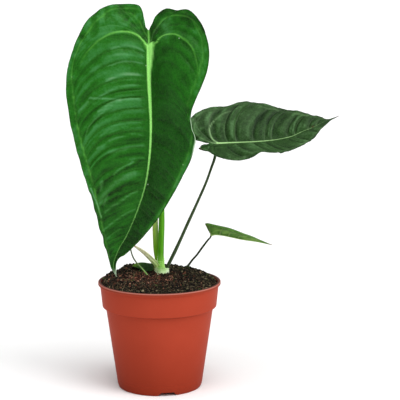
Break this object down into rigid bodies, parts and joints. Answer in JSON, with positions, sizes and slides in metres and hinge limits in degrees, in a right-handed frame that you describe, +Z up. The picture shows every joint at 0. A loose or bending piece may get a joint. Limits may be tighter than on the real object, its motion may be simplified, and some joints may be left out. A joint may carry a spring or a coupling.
{
  "type": "potted king anthurium",
  "caption": "Young king anthurium with a large hanging heart-shaped leaf and smaller leaves on slender stalks, in a round nursery pot of soil.",
  "frame": {"origin": "on the pot's axis, at the level the pot stands on", "axes": "+Z up along the pot's axis; -Y is the side the big leaf hangs on; +X is the side the second leaf reaches to"},
  "size_m": [0.2611, 0.122, 0.3734],
  "materials": {
    "pot": "terracotta-coloured plastic with a soft sheen",
    "soil": null,
    "crown": null,
    "cataphyll": null,
    "petiole_main": null,
    "leaf_main": null,
    "furled_leaf": null,
    "petiole_right": null,
    "leaf_right": null,
    "petiole_low_right": null,
    "leaf_low_right": null,
    "petiole_left": null,
    "leaf_left": null,
    "petiole_soil": null,
    "leaf_soil": null
  },
  "bodies": {
    "root": {"pot": "pot", "soil": "soil", "crown": "crown", "cataphyll": "cataphyll", "petiole_main": "petiole_main", "leaf_main": "leaf_main", "furled_leaf": "furled_leaf", "petiole_right": "petiole_right", "leaf_right": "leaf_right", "petiole_low_right": "petiole_low_right", "leaf_low_right": "leaf_low_right", "petiole_left": "petiole_left", "leaf_left": "leaf_left", "petiole_soil": "petiole_soil", "leaf_soil": "leaf_soil"}
  },
  "joints": []
}
